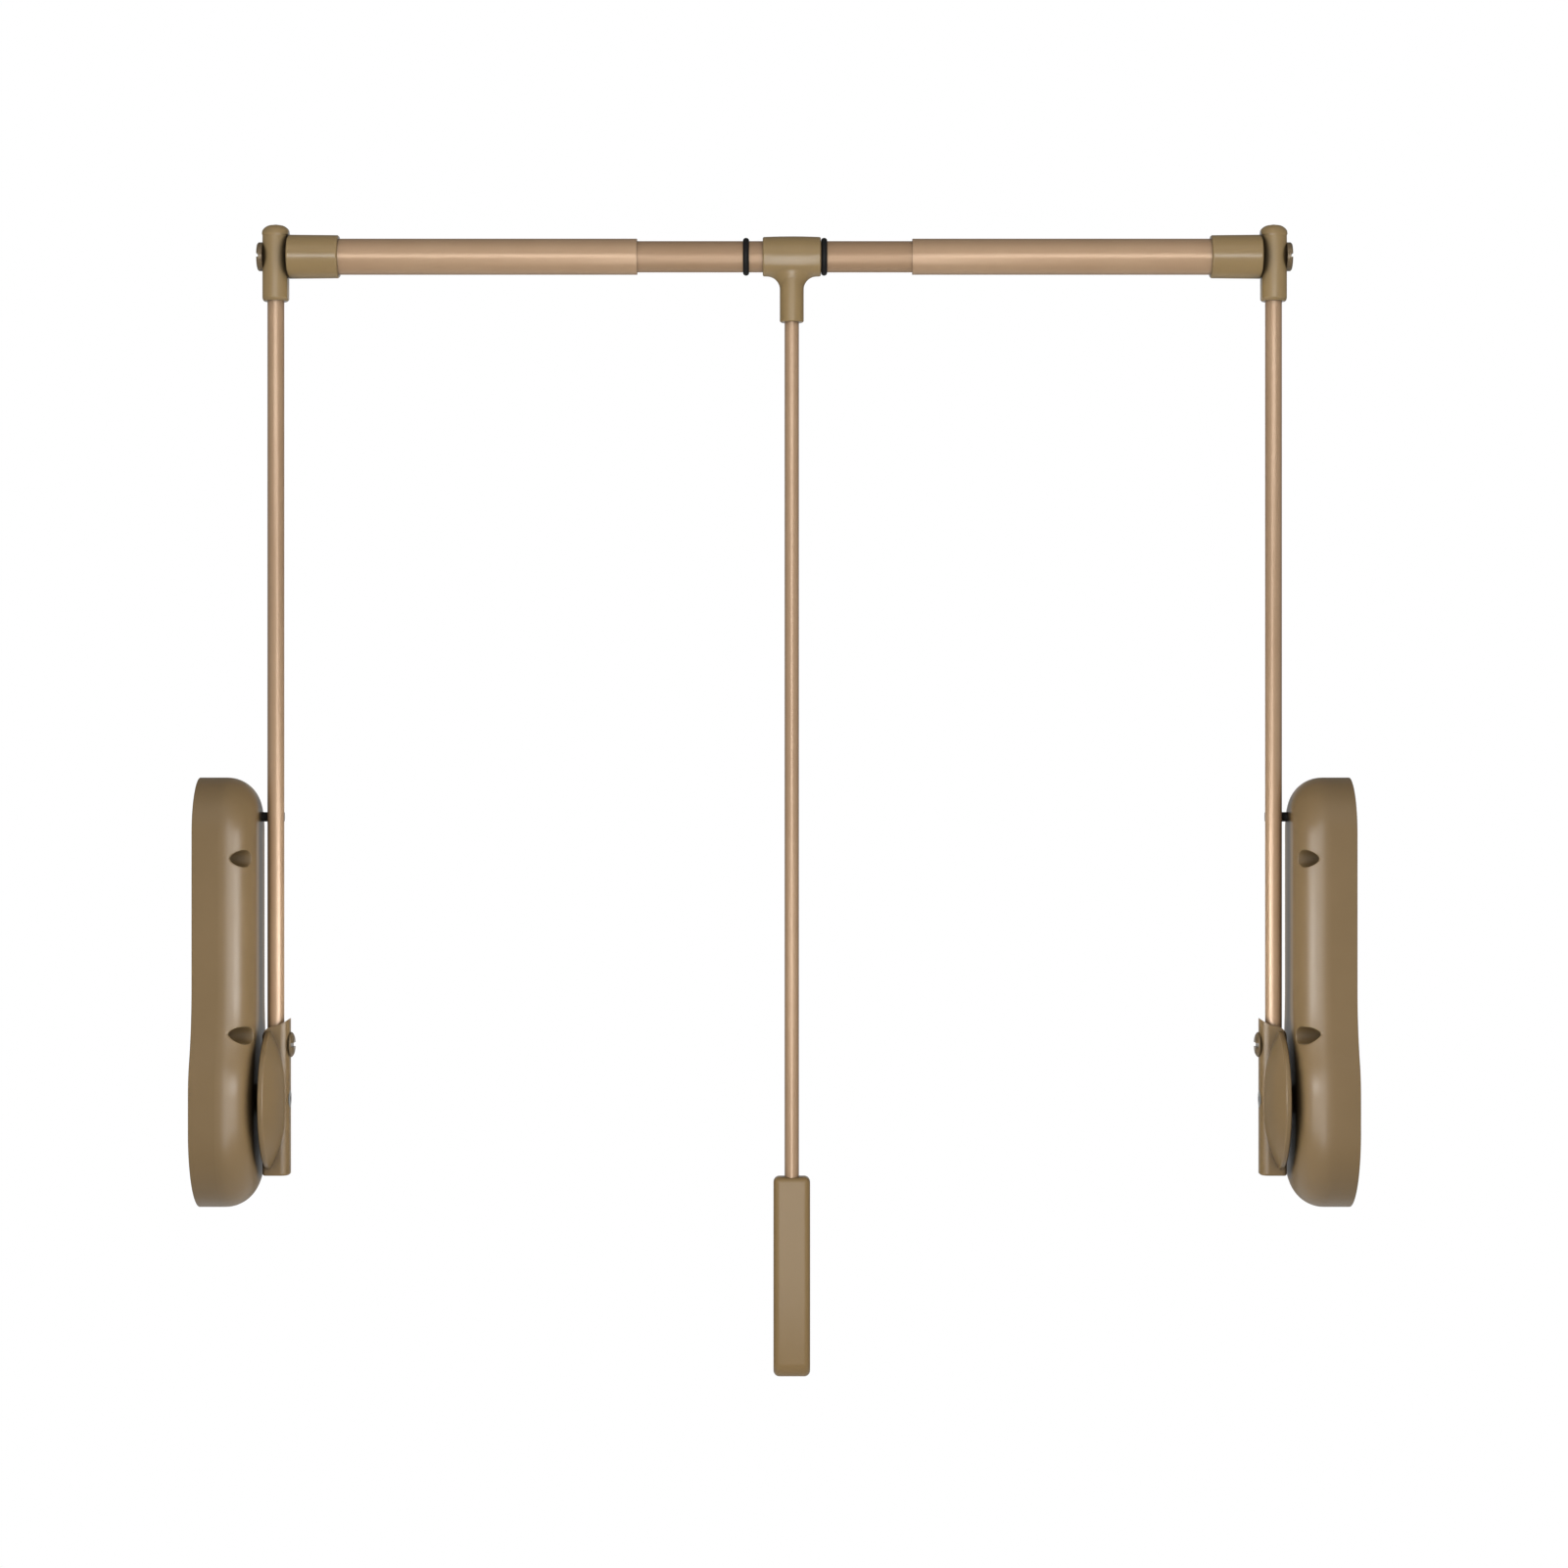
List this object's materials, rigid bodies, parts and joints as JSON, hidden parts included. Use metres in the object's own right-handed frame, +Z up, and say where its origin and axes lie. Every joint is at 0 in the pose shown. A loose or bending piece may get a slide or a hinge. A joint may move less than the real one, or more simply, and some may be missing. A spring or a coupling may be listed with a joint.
{
  "type": "pull-down wardrobe rail",
  "caption": "Wall-to-wall wardrobe rail on two spring-assisted swinging arms, telescopic across, with a hanging pull rod and grip.",
  "frame": {"origin": "centre of the left wall plate's four screw holes, on the wall face", "axes": "+X across the wardrobe to the right wall, -Y towards the user, +Z up"},
  "size_m": [0.96, 0.136, 0.9648],
  "materials": {
    "moulding": "satin olive-bronze moulded plastic",
    "champagne_tube": "satin champagne-gold lacquered steel tube",
    "black_rubber": "black moulded rubber",
    "bronze_bolt": "dark bronze lacquered bolt head",
    "plated_steel": "zinc-plated sheet and screws",
    "machined_steel": "turned and hobbed steel, oiled",
    "spring_steel": "dark oil-hardened spring wire",
    "damper_steel": "ground and chromed damper parts",
    "nylon": "natural nylon bearing plastic"
  },
  "bodies": {
    "root": {"left_wall_plate": "plated_steel", "left_housing_cover": "moulding", "left_cover_screws": "plated_steel", "left_pivot_bushes": "nylon", "left_stop_peg": "plated_steel", "left_stop_sleeve": "black_rubber", "left_rack_guide": "nylon", "left_spring_bracket": "plated_steel", "left_damper_cylinder": "damper_steel", "left_assist_spring": "spring_steel"},
    "left_arm": {"left_pivot_axle": "machined_steel", "left_axle_clip": "spring_steel", "left_pinion": "machined_steel", "left_arm_holder": "moulding", "left_axle_screw": "plated_steel", "left_holder_bolt": "bronze_bolt", "left_arm_plug": "machined_steel", "left_arm_tube": "champagne_tube", "left_arm_head": "moulding", "left_head_bolt": "bronze_bolt", "left_rail_socket": "moulding", "left_outer_tube": "champagne_tube", "left_tube_liner": "nylon"},
    "left_rack_slide": {"left_rack": "machined_steel", "left_damper_rod": "damper_steel"},
    "right_unit": {"right_wall_plate": "plated_steel", "right_housing_cover": "moulding", "right_cover_screws": "plated_steel", "right_pivot_bushes": "nylon", "right_stop_peg": "plated_steel", "right_stop_sleeve": "black_rubber", "right_rack_guide": "nylon", "right_spring_bracket": "plated_steel", "right_damper_cylinder": "damper_steel", "right_assist_spring": "spring_steel"},
    "right_arm": {"right_pivot_axle": "machined_steel", "right_axle_clip": "spring_steel", "right_pinion": "machined_steel", "right_arm_holder": "moulding", "right_axle_screw": "plated_steel", "right_holder_bolt": "bronze_bolt", "right_arm_plug": "machined_steel", "right_arm_tube": "champagne_tube", "right_arm_head": "moulding", "right_head_bolt": "bronze_bolt", "right_rail_socket": "moulding", "right_outer_tube": "champagne_tube", "right_tube_liner": "nylon"},
    "right_rack_slide": {"right_rack": "machined_steel", "right_damper_rod": "damper_steel"},
    "inner_rail": {"inner_tube": "champagne_tube", "tube_end_plugs": "nylon"},
    "left_ring": {"left_stop_ring": "black_rubber"},
    "right_ring": {"right_stop_ring": "black_rubber"},
    "pull_rod_unit": {"tee_connector": "moulding", "pull_rod": "champagne_tube", "tee_set_screw": "plated_steel", "pull_handle": "moulding", "handle_set_screw": "plated_steel"}
  },
  "joints": [
    {"name": "arm_swing", "type": "hinge", "parent": "root", "child": "left_arm", "pos_m": [0, 0, -0.129], "axis": [1, 0, 0], "range_deg": [0, 120], "stiffness_Nm_per_rad": 12, "springref_deg": -34.38},
    {"name": "left_rack_travel", "type": "slide", "parent": "root", "child": "left_rack_slide", "axis": [0, 0, 1], "range_m": [0, 0.038], "deforming": ["left_assist_spring"]},
    {"name": "width_adjust", "type": "slide", "parent": "root", "child": "right_unit", "axis": [1, 0, 0], "range_m": [-0.13, 0.19]},
    {"name": "right_arm_swing", "type": "hinge", "parent": "right_unit", "child": "right_arm", "pos_m": [0.96, 0, -0.129], "axis": [1, 0, 0], "range_deg": [0, 120]},
    {"name": "right_rack_travel", "type": "slide", "parent": "right_unit", "child": "right_rack_slide", "axis": [0, 0, 1], "range_m": [0, 0.038], "deforming": ["right_assist_spring"]},
    {"name": "rail_extension", "type": "slide", "parent": "left_arm", "child": "inner_rail", "axis": [1, 0, 0], "range_m": [-0.065, 0.095]},
    {"name": "left_ring_slide", "type": "slide", "parent": "inner_rail", "child": "left_ring", "axis": [1, 0, 0], "range_m": [-0.02, 0.005]},
    {"name": "right_ring_slide", "type": "slide", "parent": "inner_rail", "child": "right_ring", "axis": [1, 0, 0], "range_m": [-0.005, 0.006]},
    {"name": "pull_rod_swivel", "type": "hinge", "parent": "right_ring", "child": "pull_rod_unit", "pos_m": [0.4943, 0, 0.576], "axis": [1, 0, 0], "continuous": true}
  ],
  "couplings": [
    {"joint": "left_rack_travel", "follows": "arm_swing", "m_per_rad": 0.018},
    {"joint": "right_arm_swing", "follows": "arm_swing", "ratio": 1},
    {"joint": "right_rack_travel", "follows": "arm_swing", "m_per_rad": 0.018},
    {"joint": "rail_extension", "follows": "width_adjust", "ratio": 0.5}
  ]
}
